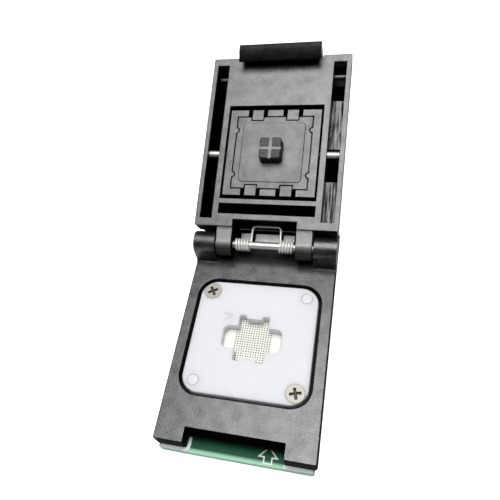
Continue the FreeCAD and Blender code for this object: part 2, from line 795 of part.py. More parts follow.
def make_latch_lever():
    """Latch: hooked plate across the lid's free end, carried by two cheeks on the latch pin."""
    half = latch_width / 2
    ramp = latch_catch - latch_tooth_height
    hook = [(latch_outer, lid_top), (latch_outer, latch_tip), (latch_inner, latch_tip),
            (latch_tooth, ramp), (latch_tooth, latch_catch), (latch_inner, latch_catch),
            (latch_inner, lid_top)]
    lever = lid_prism(hook, -half, half)
    edge = [e for e in lever.Edges if e.BoundBox.XLength > latch_width - pick_tolerance
            and abs(e.BoundBox.YMin - (hinge_back - latch_outer)) < pick_tolerance]
    lever = lever.makeFillet(latch_edge_round, edge)
    y, z = closed(latch_pivot_s, latch_pivot_w)
    r = latch_boss_radius
    for sign in (-1, 1):
        xs = sorted((sign * half, sign * (half - latch_cheek_width)))
        boss = x_cylinder(r, xs[0], xs[1], y, z)
        root = latch_inner + latch_plate_thickness / 2
        arm = lid_block(xs[0], xs[1], latch_pivot_s, root, latch_pivot_w - r, latch_pivot_w + r)
        lever = lever.fuse(boss.fuse(arm))
    bore = latch_pin_diameter / 2 + running_gap
    lever = lever.cut(x_cylinder(bore, -half - overshoot, half + overshoot, y, z))
    return swung_open(lever.removeSplitter())


def make_latch_pin():
    """Thin pin across the lid that the latch turns on."""
    end = half_body - latch_pin_margin - seat_gap
    y, z = closed(latch_pivot_s, latch_pivot_w)
    return swung_open(x_cylinder(latch_pin_diameter / 2, -end, end, y, z))


def make_latch_springs():
    """Two small coil springs between the lid and the top of the latch plate."""
    length = latch_inner - latch_pocket_rear - 2 * seat_gap - latch_spring_wire
    pitch = length / latch_spring_turns
    y, z = closed(latch_pocket_rear + seat_gap + latch_spring_wire / 2, latch_pivot_w + latch_spring_rise)
    points = helix_points(latch_spring_radius, pitch, latch_spring_turns, latch_spring_steps_per_turn)
    springs = []
    for side in (-1, 1):
        coil = bent_wire(points, latch_spring_wire / 2, latch_spring_sides)
        coil.rotate(V(0, 0, 0), X_AXIS, 90)
        coil.translate(V(side * latch_spring_spacing / 2, y, z))
        springs.append(swung_open(coil))
    return springs


os.makedirs("parts", exist_ok=True)
save("base_housing", make_base_housing())
save("guide_plate", make_guide_plate())
save("guide_plate_screws", *make_plate_screws())
save("guide_plate_dowels", *make_dowels())
save("contact_carrier", make_contact_carrier())
save("contact_pins", *make_contacts())
save("circuit_board", make_board())
save("board_screws", *make_board_screws())
for label, side in (("left", -1), ("right", 1)):
    save("pin_strip_" + label, make_pin_strip(side))
    save("plug_pins_" + label, *make_plug_pins(side))
    save("hinge_spring_" + label, make_spring_coil(side))
    save("presser_pin_" + label, make_presser_pin(side))
save("hinge_pin", make_hinge_pin())
save("hinge_spring_loop", make_spring_loop())
save("lid_housing", make_lid_housing())
save("presser_carrier", make_presser_carrier())
save("presser_plate", make_presser_plate())
save("chip_pusher", make_chip_pusher())
save("latch_lever", make_latch_lever())
save("latch_pin", make_latch_pin())
save("latch_springs", *make_latch_springs())
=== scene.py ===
import math

import bmesh
import bpy
import numpy as np
from mathutils import Matrix, Vector


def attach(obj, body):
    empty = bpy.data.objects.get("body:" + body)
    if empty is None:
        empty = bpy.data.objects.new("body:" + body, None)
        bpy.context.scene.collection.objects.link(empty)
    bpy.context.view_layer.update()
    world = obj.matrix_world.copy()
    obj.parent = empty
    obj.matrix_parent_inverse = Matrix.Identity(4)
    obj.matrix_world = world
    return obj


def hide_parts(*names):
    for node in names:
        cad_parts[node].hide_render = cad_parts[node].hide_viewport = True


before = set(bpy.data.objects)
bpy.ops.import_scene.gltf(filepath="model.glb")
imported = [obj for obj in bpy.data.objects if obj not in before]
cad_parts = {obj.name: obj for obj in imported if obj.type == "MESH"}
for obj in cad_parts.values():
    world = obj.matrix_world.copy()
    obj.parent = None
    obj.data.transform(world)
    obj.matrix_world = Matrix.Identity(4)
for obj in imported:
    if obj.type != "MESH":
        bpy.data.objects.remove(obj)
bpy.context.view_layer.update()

# Circuit board. Glass-fibre laminate with green solder mask on both faces, its cut edges
# pale and fibrous, and a white printed arrow and footprint line in the latch notch.
# The housing is screwed down on it.

MM = 0.001
BOARD_TOP = 4.1
BOARD_FRONT = -22.7


def in_scene(name, data):
    """New object, linked to the scene."""
    thing = bpy.data.objects.new(name, data)
    bpy.context.scene.collection.objects.link(thing)
    return thing


def new_object(name, mesh, body, material, replaced=()):
    """Links a mesh as a piece that rides on a CAD body, its material and the
    nodes that it replaces."""
    piece = in_scene(name, mesh)
    mesh.materials.clear()
    mesh.materials.append(material)
    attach(piece, body)
    if replaced:
        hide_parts(*replaced)
    return piece


def mesh_from(name, points, faces, degrees=35):
    """Mesh from points in millimetres: doubles merged, normals turned outwards, and smooth
    except at edges sharper than the angle."""
    same_point = 0.001 * MM
    mesh = bpy.data.meshes.new(name)
    mesh.from_pydata((np.asarray(points, float) * MM).tolist(), [], [list(f) for f in faces])
    work = bmesh.new()
    work.from_mesh(mesh)
    bmesh.ops.remove_doubles(work, verts=work.verts, dist=same_point)
    bmesh.ops.recalc_face_normals(work, faces=work.faces)
    work.to_mesh(mesh)
    work.free()
    mesh.shade_smooth()
    mesh.set_sharp_from_angle(angle=math.radians(degrees))
    return mesh


def rounded_copy(node, name, body, material, edge_mm, degrees=30):
    """Copy of a CAD node that stands for it: its triangles merged to whole faces, and every
    edge sharper than the angle rounded by a bevel of that many millimetres."""
    same_point = 0.002 * MM
    flat = math.radians(0.6)
    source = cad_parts[node].data
    points = np.empty(len(source.vertices) * 3)
    source.vertices.foreach_get("co", points)
    corners = np.empty(len(source.loops), int)
    source.loops.foreach_get("vertex_index", corners)
    mesh = bpy.data.meshes.new(name)
    mesh.from_pydata(points.reshape(-1, 3).tolist(), [], corners.reshape(-1, 3).tolist())
    work = bmesh.new()
    work.from_mesh(mesh)
    bmesh.ops.remove_doubles(work, verts=work.verts, dist=same_point)
    bmesh.ops.dissolve_limit(work, angle_limit=flat, verts=work.verts, edges=work.edges)
    work.to_mesh(mesh)
    work.free()
    mesh.shade_smooth()
    piece = new_object(name, mesh, body, material, (node,))
    bevel = piece.modifiers.new("edge", "BEVEL")
    bevel.width = edge_mm * MM
    bevel.segments = 2
    bevel.limit_method = "ANGLE"
    bevel.angle_limit = math.radians(degrees)
    bevel.use_clamp_overlap = False
    bevel.loop_slide = False
    weighted = piece.modifiers.new("normals", "WEIGHTED_NORMAL")
    weighted.weight = 100
    weighted.keep_sharp = False


def new_material(name):
    """Material with its Principled shader, ready for more nodes."""
    material = bpy.data.materials.new(name)
    material.use_nodes = True
    tree = material.node_tree
    return material, tree, tree.nodes["Principled BSDF"]


def add(tree, kind, inputs=None, **settings):
    """Adds one node. Inputs are numbers or colours, or sockets to link."""
    node = tree.nodes.new(kind)
    for key, value in settings.items():
        setattr(node, key, value)
    for key, value in (inputs or {}).items():
        if isinstance(value, bpy.types.NodeSocket):
            tree.links.new(value, node.inputs[key])
        else:
            node.inputs[key].default_value = value
    return node


def object_point(tree):
    """The place on the object, in metres."""
    return add(tree, "ShaderNodeTexCoord").outputs["Object"]


def object_xyz(tree):
    """The three coordinates of that place."""
    return add(tree, "ShaderNodeSeparateXYZ", {0: object_point(tree)}).outputs


def blend_colours(tree, factor, first, second):
    """First colour where the factor is 0, second where it is 1."""
    return add(tree, "ShaderNodeMix", {0: factor, 6: first, 7: second}, data_type="RGBA",
               clamp_factor=True).outputs[2]


def spread(tree, value, low, high, to_low=0.0, to_high=1.0):
    """Value mapped from one range to another and held there."""
    return add(tree, "ShaderNodeMapRange",
               {0: value, 1: low, 2: high, 3: to_low, 4: to_high}).outputs[0]


def spread_mm(tree, distance, low, high, to_low=0.0, to_high=1.0):
    """The same for a distance, with its range in millimetres."""
    return spread(tree, distance, low * MM, high * MM, to_low, to_high)


def from_noise(tree, value, low, high):
    """Noise, which lies mostly between 0.3 and 0.7, mapped to a range."""
    return spread(tree, value, 0.3, 0.7, low, high)


def by_mask(tree, mask, off, on):
    """One value where the mask is 0 and another where it is 1."""
    return spread(tree, mask, 0.0, 1.0, off, on)


def calc(tree, operation, first, *others):
    """Sum, product or other result of two or more values, taken in turn."""
    for other in others:
        first = add(tree, "ShaderNodeMath", {0: first, 1: other}, operation=operation).outputs[0]
    return first


def magnitude(tree, value):
    """Value without its sign."""
    return add(tree, "ShaderNodeMath", {0: value}, operation="ABSOLUTE").outputs[0]


def dot(tree, first, second):
    """Product of two vectors: the length of the first along the second."""
    return add(tree, "ShaderNodeVectorMath", {0: first, 1: second},
               operation="DOT_PRODUCT").outputs["Value"]


def noise(tree, point, per_metre, detail, rough):
    """Cloudy noise with that many cells per metre."""
    return add(tree, "ShaderNodeTexNoise", {"Vector": point, "Scale": per_metre,
                                            "Detail": detail, "Roughness": rough}).outputs["Fac"]


def make_grain_group():
    """Shared surface: fine grain, soft wide patches, scattered dust and a mask of edges, which
    serves for wear, for painted edge highlights and for painted shade in gaps. The edge mask
    compares the true normal with one averaged over the edge's width."""
    group = bpy.data.node_groups.new("surface_grain", "ShaderNodeTree")
    for way, names in (("INPUT", ("Grain Size", "Patch Size", "Edge Width")),
                       ("OUTPUT", ("Grain", "Patches", "Dust", "Edges"))):
        for name in names:
            group.interface.new_socket(name, in_out=way, socket_type="NodeSocketFloat")
    start = group.nodes.new("NodeGroupInput")
    end = group.nodes.new("NodeGroupOutput")
    point = object_point(group)
    grain = noise(group, point, calc(group, "DIVIDE", 1.0, start.outputs[0]), 2.0, 0.6)
    patches = noise(group, point, calc(group, "DIVIDE", 1.0, start.outputs[1]), 3.0, 0.5)
    dust = spread(group, noise(group, point, 2600.0, 1.0, 0.4), 0.70, 0.76)
    averaged = add(group, "ShaderNodeBevel", {"Radius": start.outputs[2]}, samples=4).outputs[0]
    true_normal = add(group, "ShaderNodeNewGeometry").outputs["Normal"]
    edges = spread(group, dot(group, averaged, true_normal), 0.995, 0.90)
    for i, value in enumerate((grain, patches, dust, edges)):
        group.links.new(value, end.inputs[i])
    return group


grain_group = make_grain_group()


def grained(tree, grain_mm, patch_mm, edge_mm):
    """Places the shared surface with its own sizes in millimetres."""
    return add(tree, "ShaderNodeGroup", {0: grain_mm * MM, 1: patch_mm * MM, 2: edge_mm * MM},
               node_tree=grain_group).outputs


def bump(tree, height, strength, depth_mm):
    """Normal from a height."""
    return add(tree, "ShaderNodeBump", {"Height": height, "Strength": strength,
                                        "Distance": depth_mm * MM}).outputs[0]


def plain_material(name, sizes, pattern, dark, light, rough, relief=0.0, cover=None, fixed=None):
    """Material whose colour runs from dark to light by one pattern of the shared surface, and
    its roughness by the grain. Sizes are those of grain, patches and edges. The cover function
    lays more colours over the first, and fixed holds constant inputs of the shader."""
    material, tree, shader = new_material(name)
    surface = grained(tree, *sizes)
    colour = blend_colours(tree, surface[pattern], dark, light)
    if cover:
        colour = cover(tree, colour)
    tree.links.new(colour, shader.inputs["Base Color"])
    tree.links.new(from_noise(tree, surface["Grain"], *rough), shader.inputs["Roughness"])
    if relief:
        tree.links.new(bump(tree, surface["Grain"], relief, 0.01), shader.inputs["Normal"])
    for key, value in (fixed or {}).items():
        shader.inputs[key].default_value = value
    return material


def board_cover(tree, colour):
    """Paler green in a band along the board's front edge, and bare fibres on its cut sides, where
    the normal isn't upright."""
    front_band = spread_mm(tree, object_xyz(tree)[1], BOARD_FRONT + 1.0, BOARD_FRONT + 0.45)
    colour = blend_colours(tree, front_band, colour, (0.40, 0.72, 0.52, 1))
    fibres = add(tree, "ShaderNodeTexWave", {"Vector": object_point(tree), "Scale": 700.0,
                                             "Distortion": 3.0, "Detail": 2.0},
                 bands_direction="Z").outputs["Fac"]
    cut = blend_colours(tree, fibres, (0.30, 0.46, 0.36, 1), (0.52, 0.66, 0.54, 1))
    normal = add(tree, "ShaderNodeNewGeometry").outputs["Normal"]
    upright = magnitude(tree, add(tree, "ShaderNodeSeparateXYZ", {0: normal}).outputs[2])
    return blend_colours(tree, spread(tree, upright, 0.5, 0.7), cut, colour)


board_green = plain_material("board_green", (0.35, 5.0, 0.10), "Patches",
                             (0.002, 0.060, 0.025, 1), (0.004, 0.105, 0.044, 1), (0.24, 0.36),
                             0.25, board_cover, {"Specular IOR Level": 0.08})
rounded_copy("circuit_board", "board", "base", board_green, 0.06)


def grid_faces(rows, cols, closed=False):
    """Quads between neighbouring points of a rows by cols grid. In a closed grid, the last
    column meets the first."""
    r, c = np.meshgrid(np.arange(rows - 1), np.arange(cols if closed else cols - 1),
                       indexing="ij")
    below, beside = r + 1, (c + 1) % cols
    quads = np.stack([r * cols + c, r * cols + beside,
                      below * cols + beside, below * cols + c], axis=-1)
    return quads.reshape(-1, 4)


def joined(shapes):
    """Several (points, faces) shapes as one."""
    points, faces, count = [], [], 0
    for shape_points, shape_faces in shapes:
        points.append(np.asarray(shape_points, float))
        faces += [[i + count for i in face] for face in shape_faces]
        count += len(shape_points)
    return np.vstack(points), faces


INK_THICKNESS = 0.03
THIN_INK = 0.24
WIDE_INK = 0.62


def ink_line(route, width, bottom=BOARD_TOP):
    """Flat printed line along (x, y) corners: each corner is moved to both sides along its
    mitre by half the width / the mitre's cosine, held at 0.4 or more, and the strip between
    gets the ink's thickness."""
    route = np.asarray(route, float)
    runs = np.diff(route, axis=0)
    runs /= np.linalg.norm(runs, axis=1)[:, None]
    before = np.vstack([runs[:1], runs])
    after = np.vstack([runs, runs[-1:]])
    mitre = before + after
    mitre /= np.linalg.norm(mitre, axis=1)[:, None]
    aside = np.stack([-mitre[:, 1], mitre[:, 0]], axis=1)
    reach = width / 2 / np.clip((mitre * after).sum(axis=1), 0.4, 1)
    left = route + aside * reach[:, None]
    right = route - aside * reach[:, None]
    low = np.full((len(route), 1), bottom)
    high = low + INK_THICKNESS
    ring = np.stack([np.hstack([left, low]), np.hstack([right, low]),
                     np.hstack([right, high]), np.hstack([left, high])], axis=1)
    quads = grid_faces(len(route), 4, closed=True).tolist()
    last = 4 * (len(route) - 1)
    return ring.reshape(-1, 3), quads + [[0, 1, 2, 3], [last, last + 1, last + 2, last + 3]]


arrow = [(6.19, -19.35), (4.55, -21.10), (5.47, -21.10), (5.47, -22.20), (6.91, -22.20),
         (6.91, -21.10), (7.83, -21.10), (6.19, -19.35)]
left_line = [(-14.2, -22.25), (-9.15, -22.25), (-8.75, -21.9), (-8.65, -21.3), (-8.65, -19.2)]
right_line = [(9.0, -22.25), (14.2, -22.25)]
ink = joined([ink_line(arrow, THIN_INK), ink_line(left_line, WIDE_INK),
              ink_line(right_line, WIDE_INK)])
white_ink = plain_material("white_ink", (0.2, 2.0, 0.05), "Grain",
                           (0.80, 0.84, 0.81, 1), (0.92, 0.94, 0.92, 1), (0.5, 0.7))
new_object("board_print", mesh_from("board_print", *ink), "base", white_ink)

# Plug pins and their strips. Turned round pins, gold plated, pressed through two black
# moulded strips under the board, four on each side.

PIN_RADIUS = 0.25
PIN_LOW = -3.2
PIN_PITCH = 2.54
PINS_PER_ROW = 4
ROW_HALF = 3.81
PIN_TOP = 2.49


def turned(profile, start, along, across, sides=40):
    """Turned shape: a profile of (radius, place along the axis) points carried round the axis.
    Points = start + along * place + radius * (cos * across + sin * third direction)."""
    profile = np.asarray(profile, float)
    along = np.asarray(along, float)
    across = np.asarray(across, float)
    third = np.cross(along, across)
    angle = np.linspace(0, 2 * np.pi, sides, endpoint=False)
    spoke = np.cos(angle)[:, None] * across + np.sin(angle)[:, None] * third
    points = (np.asarray(start, float) + profile[:, 1, None, None] * along
              + profile[:, 0, None, None] * spoke[None])
    return points.reshape(-1, 3), grid_faces(len(profile), sides, closed=True)


def round_edge(radius, place, size, sign, steps=4):
    """Quarter round of a turned profile, from the rim in to the flat end (sign 1) or out."""
    turn = np.linspace(0, np.pi / 2, steps + 1)
    quarter = np.stack([radius - size * (1 - np.cos(turn)),
                        place + sign * size * (np.sin(turn) - 1)], axis=1)
    return quarter if sign > 0 else quarter[::-1]


def bar_profile(radius, low, high, edge):
    """Profile of a plain bar with rounded ends."""
    return np.vstack([[[0, low]], round_edge(radius, low, edge, -1),
                      round_edge(radius, high, edge, 1), [[0, high]]])


def streaked(tree, per_metre):
    """Noise drawn out into streaks, with its own number of cells per metre on each axis."""
    squeezed = add(tree, "ShaderNodeMapping", {"Vector": object_point(tree),
                                               "Scale": per_metre}).outputs[0]
    return noise(tree, squeezed, 1.0, 2.0, 0.6)


def metal(name, dark, light, roughness, grain_mm, streak=None, shaded=None, share=0.9):
    """Metal with fine surface noise, or with drawn streaks along one axis. The shaded function
    gives a mask of places painted dark as shade. The share is its Metallic: lower for a matt
    plating, which has a pale skin, and for the bright-drawn spring wire, whose pale colour is
    partly its skin and partly a painted highlight."""
    material, tree, shader = new_material(name)
    surface = grained(tree, grain_mm, 3.0, 0.06)
    look = streaked(tree, streak) if streak else surface["Grain"]
    colour = blend_colours(tree, look, dark, light)
    # Painted shade: the shaded mask takes the colour towards near black.
    if shaded:
        colour = blend_colours(tree, shaded(tree, surface), colour, (0.03, 0.027, 0.02, 1))
    tree.links.new(colour, shader.inputs["Base Color"])
    tree.links.new(from_noise(tree, look, roughness - 0.05, roughness + 0.08),
                   shader.inputs["Roughness"])
    shader.inputs["Metallic"].default_value = share
    tree.links.new(bump(tree, look, 0.15, 0.006), shader.inputs["Normal"])
    return material


gold = metal("gold_plate", (0.62, 0.43, 0.17, 1), (0.83, 0.63, 0.30, 1), 0.24, 0.1)
pin_profile = [(0, PIN_LOW), (0.12, PIN_LOW), (0.17, PIN_LOW + 0.05), (0.235, PIN_LOW + 0.4),
               (PIN_RADIUS, PIN_LOW + 0.6), (PIN_RADIUS, PIN_TOP), (0, PIN_TOP)]
for side, label in ((-1, "left"), (1, "right")):
    row = [turned(pin_profile, (side * ROW_HALF, (i - (PINS_PER_ROW - 1) / 2) * PIN_PITCH, 0),
                  (0, 0, 1), (1, 0, 0), 24) for i in range(PINS_PER_ROW)]
    node = "plug_pins_" + label
    new_object("pins_" + label, mesh_from(node, *joined(row)), "base", gold, (node,))


def grey(value):
    """Opaque grey."""
    return (value, value, value, 1.0)


SHEEN_SHARE = 0.54
SHEEN_IOR = 1.86
# Pale grey of dust specks and of painted light; near black of painted shade and matt faces.
DUST_AND_LIGHT_GREY = grey(0.22)
SHADE_AND_MATT_BLACK = grey(0.0016)


def black_plastic(name, grain_mm, shade, sheen_roughness, gloss=1.0, painted_shade_and_matt=None, painted_light=None,
                  edge_mm=0.16):
    """Moulded black plastic with spark-eroded grain. Patches and grain move colour, gloss and
    roughness, edges are painted paler, partly as wear and partly as a painted highlight, and dust
    is a few pale specks. The shade mask function gives faces painted near black without sheen:
    painted shade in recesses, under parts and in gaps, dark streaks, and the matt pads of the
    pusher. The light mask function gives faces painted paler with a wider, stronger sheen, as
    painted light. The sheen is the shader's full specular, taken down by Metallic, which on a
    black colour leaves nothing to reflect: 1 - share * level."""
    material, tree, shader = new_material(name)
    surface = grained(tree, grain_mm, 2.4, edge_mm)
    patches, grain = surface["Patches"], surface["Grain"]
    colour = blend_colours(tree, from_noise(tree, patches, 0.0, 1.0), grey(shade * 0.7),
                           grey(shade * 1.3))
    # Edges painted paler: partly wear, partly a painted highlight.
    worn_and_highlit = by_mask(tree, surface["Edges"], 0.0, 0.6)
    colour = blend_colours(tree, worn_and_highlit, colour, grey(shade + 0.05))
    dusty = by_mask(tree, surface["Dust"], 0.0, 0.35 * min(gloss, 1.0))
    colour = blend_colours(tree, dusty, colour, DUST_AND_LIGHT_GREY)
    rough = calc(tree, "ADD", from_noise(tree, patches, -0.03, 0.03),
                 from_noise(tree, grain, sheen_roughness - 0.05, sheen_roughness + 0.05))
    level = calc(tree, "ADD", from_noise(tree, patches, 0.58 * gloss, 1.0 * gloss),
                 from_noise(tree, grain, -0.18 * gloss, 0.18 * gloss))
    # Painted light: paler colour and a stronger, wider sheen.
    if painted_light:
        mask = painted_light(tree)
        level = calc(tree, "MULTIPLY", level, by_mask(tree, mask, 1.0, 2.2))
        rough = calc(tree, "ADD", rough, by_mask(tree, mask, 0.0, 0.06))
        colour = blend_colours(tree, mask, colour, DUST_AND_LIGHT_GREY)
    # Painted shade, and on a few faces a matt finish: near black and no sheen.
    if painted_shade_and_matt:
        mask = painted_shade_and_matt(tree, surface)
        level = calc(tree, "MULTIPLY", level, by_mask(tree, mask, 1.0, 0.0))
        rough = calc(tree, "ADD", rough, by_mask(tree, mask, 0.0, 0.5))
        colour = blend_colours(tree, mask, colour, SHADE_AND_MATT_BLACK)
    metallic = calc(tree, "SUBTRACT", 1.0, calc(tree, "MULTIPLY", level, SHEEN_SHARE))
    tree.links.new(colour, shader.inputs["Base Color"])
    tree.links.new(rough, shader.inputs["Roughness"])
    tree.links.new(metallic, shader.inputs["Metallic"])
    tree.links.new(bump(tree, grain, 1.0, 0.05), shader.inputs["Normal"])
    shader.inputs["Specular IOR Level"].default_value = 1.0
    shader.inputs["IOR"].default_value = SHEEN_IOR
    return material


strip_black = black_plastic("strip_black", 0.15, 0.025, 0.5)
for label in ("left", "right"):
    rounded_copy("pin_strip_" + label, "strip_" + label, "base", strip_black,
                 0.06)

# Board screws. Small steel screws from below, with low round heads and a cross recess.
# They hold the housing to the board at its four corners.

nickel = metal("nickel_plate", (0.50, 0.47, 0.40, 1), (0.78, 0.74, 0.66, 1), 0.28, 0.12)
rounded_copy("board_screws", "board_screws_worn", "base", nickel, 0.08, degrees=50)

# Base housing. One black moulding: a flat tray with the plate recess, the latch notch, two
# hinge ears and the web behind the hinge pin. Its top has a fine matt grain. The pairs of
# millimetres are where a mask begins and where it is full.

BASE_TOP = 7.5
UNDER_TOP = (BASE_TOP - 0.04, BASE_TOP - 0.16)
RECESS_SIDE = (13.2, 13.4)
UNDER_EARS = (8.2, 7.8)
HINGE_BAND = (16.2, 17.6)
REAR_SHELF = (24.2, 24.6)
WEB_SIDE = (6.3, 6.1)
WEB_FRONT = (21.2, 21.4)
WEB_HEIGHT = (7.7, 7.9)


def base_painted_shade(tree, surface):
    """Painted shade on everything under the top face, with its chamfer: keeper, notch, outer sides
    and, less so, the recess round the plate. On top, painted shade on the rear shelf and in a
    band at the hinge."""
    x, y, z = object_xyz(tree)
    reach = calc(tree, "MAXIMUM", magnitude(tree, x), magnitude(tree, y))
    below = calc(tree, "MULTIPLY", spread_mm(tree, z, *UNDER_TOP),
                 spread_mm(tree, reach, *RECESS_SIDE, 0.72, 1.0))
    band = calc(tree, "MULTIPLY", spread_mm(tree, z, *UNDER_EARS),
                spread_mm(tree, y, *HINGE_BAND, 0.0, 0.6))
    return calc(tree, "MAXIMUM", below, band, spread_mm(tree, y, *REAR_SHELF))


def web_painted_light(tree):
    """Painted light on the top of the web behind the spring."""
    x, y, z = object_xyz(tree)
    return calc(tree, "MULTIPLY", spread_mm(tree, magnitude(tree, x), *WEB_SIDE),
                spread_mm(tree, y, *WEB_FRONT), spread_mm(tree, z, *WEB_HEIGHT))


base_black = black_plastic("base_black", 0.30, 0.020, 0.33, painted_shade_and_matt=base_painted_shade, painted_light=web_painted_light)
rounded_copy("base_housing", "base_moulding", "base", base_black, 0.07)

# Contact carrier and contacts. A cream insulator block with a fine field of square holes;
# gold contacts stand in the holes under the chip's balls, just below the surface.

FIELD_COLUMNS = 15
FIELD_ROWS = 21
FIELD_PITCH = 0.5
FIELD_HOLE = 0.25
FIELD_DEPTH = 0.5
CARRIER_TOP = 5.2
CARRIER_HALF = 8.0


def hole_lines(count):
    """Lines at both sides of every hole in one direction, and the block's two sides."""
    middles = (np.arange(count) - (count - 1) / 2) * FIELD_PITCH
    sides = np.stack([middles - FIELD_HOLE / 2, middles + FIELD_HOLE / 2], axis=1).ravel()
    return np.concatenate([[-CARRIER_HALF], sides, [CARRIER_HALF]])


def carrier_block():
    """Block whose top is a grid of lines, with the cells at odd places sunk as square holes:
    top cells, hole floors and the four walls of each hole, then the sides and the bottom."""
    xs, ys = hole_lines(FIELD_COLUMNS), hole_lines(FIELD_ROWS)
    cols, rows = len(xs), len(ys)
    gx, gy = np.meshgrid(xs, ys)
    top = np.stack([gx, gy, np.full_like(gx, CARRIER_TOP)], axis=-1).reshape(-1, 3)
    sunk = top - [0, 0, FIELD_DEPTH]
    cells = grid_faces(rows, cols).reshape(rows - 1, cols - 1, 4)
    is_hole = np.zeros((rows - 1, cols - 1), bool)
    is_hole[1::2, 1::2] = True
    holes = cells[is_hole]
    count = len(top)
    following = np.roll(holes, -1, axis=1)
    walls = [np.stack([holes[:, i], following[:, i], following[:, i] + count,
                       holes[:, i] + count], axis=1) for i in range(4)]
    faces = np.vstack([cells[~is_hole], holes + count] + walls)
    rim = np.concatenate([np.arange(cols), np.arange(1, rows) * cols + cols - 1,
                          np.arange(rows * cols - 2, (rows - 1) * cols - 1, -1),
                          np.arange(rows - 2, 0, -1) * cols])
    low = top[rim].copy()
    low[:, 2] = BOARD_TOP
    low_rim = 2 * count + np.arange(len(rim))
    sides = np.stack([rim, np.roll(rim, -1), np.roll(low_rim, -1), low_rim], axis=1)
    quads = faces.tolist() + sides.tolist() + [low_rim.tolist()]
    return np.vstack([top, sunk, low]), quads


def cream_hole_shade(tree, colour):
    """Painted shade: darker cream inside the holes."""
    sunk = spread_mm(tree, object_xyz(tree)[2], CARRIER_TOP - 0.02, CARRIER_TOP - 0.2)
    return blend_colours(tree, sunk, colour, (0.52, 0.51, 0.43, 1))


cream = plain_material("cream_insulator", (0.2, 3.0, 0.06), "Patches",
                       (0.85, 0.85, 0.77, 1), (0.92, 0.92, 0.86, 1), (0.38, 0.52), 0.2,
                       cream_hole_shade)
new_object("insulator", mesh_from("carrier", *carrier_block()), "base", cream,
           ("contact_carrier",))
contact_gold = metal("contact_gold", (0.36, 0.32, 0.22, 1), (0.52, 0.47, 0.34, 1), 0.45, 0.05)
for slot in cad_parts["contact_pins"].material_slots:
    slot.material = contact_gold

# Guide plate. White acetal, cut with the cross-shaped chip window, and a faint marked
# triangle for the chip's first pin. It lies in the housing's recess, just under the top.

PLATE_TOP = 7.4

white = plain_material("white_acetal", (0.25, 6.0, 0.10), "Patches",
                       (0.81, 0.82, 0.86, 1), (0.86, 0.87, 0.91, 1), (0.42, 0.55), 0.2,
                       fixed={"Subsurface Weight": 0.8, "Subsurface Radius": (1.0, 1.0, 1.0),
                              "Subsurface Scale": 2.2 * MM})
rounded_copy("guide_plate", "plate", "base", white, 0.06)

mark_grey = plain_material("mark_grey", (0.2, 2.0, 0.05), "Grain",
                           (0.64, 0.64, 0.67, 1), (0.76, 0.76, 0.79, 1), (0.5, 0.65))
triangle = ink_line([(-6.05, 3.55), (-4.5, 4.72), (-6.32, 5.0)], THIN_INK,
                    PLATE_TOP - INK_THICKNESS / 2)
new_object("first_pin_mark", mesh_from("first_pin_mark", *triangle), "base",
           mark_grey)

# Plate screws and dowels. Two nickel countersunk cross-recess screws at opposite corners and
# two pale round dowels at the others, all level with the plate.

FASTENER = 9.85
HEAD_RADIUS = 1.8
HEAD_FLAT = HEAD_RADIUS - 0.06
HEAD_DEPTH = 0.8
SHANK_RADIUS = 1.0
SCREW_LENGTH = 3.2
WING_HALF = 0.27
WING_REACH = 1.12
RECESS_MIDDLE = 0.52
RECESS_DEPTH = 0.48
DOWEL_RADIUS = 1.05


def ramp(distance, width):
    """Rises from 0 to 1 over a width."""
    return np.clip(distance / width, 0, 1)


def recess_depth(x, y):
    """Depth of a cross recess: two crossed wings with sloping walls and a wider middle."""
    x, y = np.abs(x), np.abs(y)
    wing_a = ramp(WING_HALF - y, 0.10) * ramp(WING_REACH - x, 0.22)
    wing_b = ramp(WING_HALF - x, 0.10) * ramp(WING_REACH - y, 0.22)
    return RECESS_DEPTH * np.maximum(np.maximum(wing_a, wing_b), ramp(RECESS_MIDDLE - x - y, 0.15))


def screw(x, y, turn):
    """Countersunk screw: the head's top is a disc of rings sunk by the recess, and the rest a
    turned profile of rim, cone and shank."""
    rings, sides = 40, 120
    radius = np.linspace(0, HEAD_FLAT, rings)
    angle = np.linspace(0, 2 * np.pi, sides, endpoint=False)
    px, py = radius[:, None] * np.cos(angle), radius[:, None] * np.sin(angle)
    depth = recess_depth(px * math.cos(turn) + py * math.sin(turn),
                         py * math.cos(turn) - px * math.sin(turn))
    top = np.stack([px, py, -depth], axis=-1).reshape(-1, 3) + [x, y, PLATE_TOP]
    under = [(HEAD_FLAT, 0), (HEAD_RADIUS, -0.05), (SHANK_RADIUS, -HEAD_DEPTH),
             (SHANK_RADIUS, -SCREW_LENGTH + 0.2), (SHANK_RADIUS - 0.2, -SCREW_LENGTH),
             (0, -SCREW_LENGTH)]
    return joined([(top, grid_faces(rings, sides, closed=True)),
                   turned(under, (x, y, PLATE_TOP), (0, 0, 1), (1, 0, 0), sides)])


def screw_painted_shade(tree, surface):
    """Painted shade in the recess and a painted dark line round the rim."""
    recess = spread_mm(tree, object_xyz(tree)[2], PLATE_TOP - 0.05, PLATE_TOP - 0.2, 0.0, 0.9)
    return calc(tree, "MAXIMUM", recess, by_mask(tree, surface["Edges"], 0.0, 0.5))


screws = joined([screw(-FASTENER, FASTENER, 0.5), screw(FASTENER, -FASTENER, 0.25)])
screw_nickel = metal("screw_nickel", (0.31, 0.30, 0.265, 1), (0.46, 0.445, 0.395, 1), 0.5, 0.10,
                     shaded=screw_painted_shade, share=0.7)
new_object("plate_screw_pair", mesh_from("plate_screw_pair", *screws), "base",
           screw_nickel, ("guide_plate_screws",))

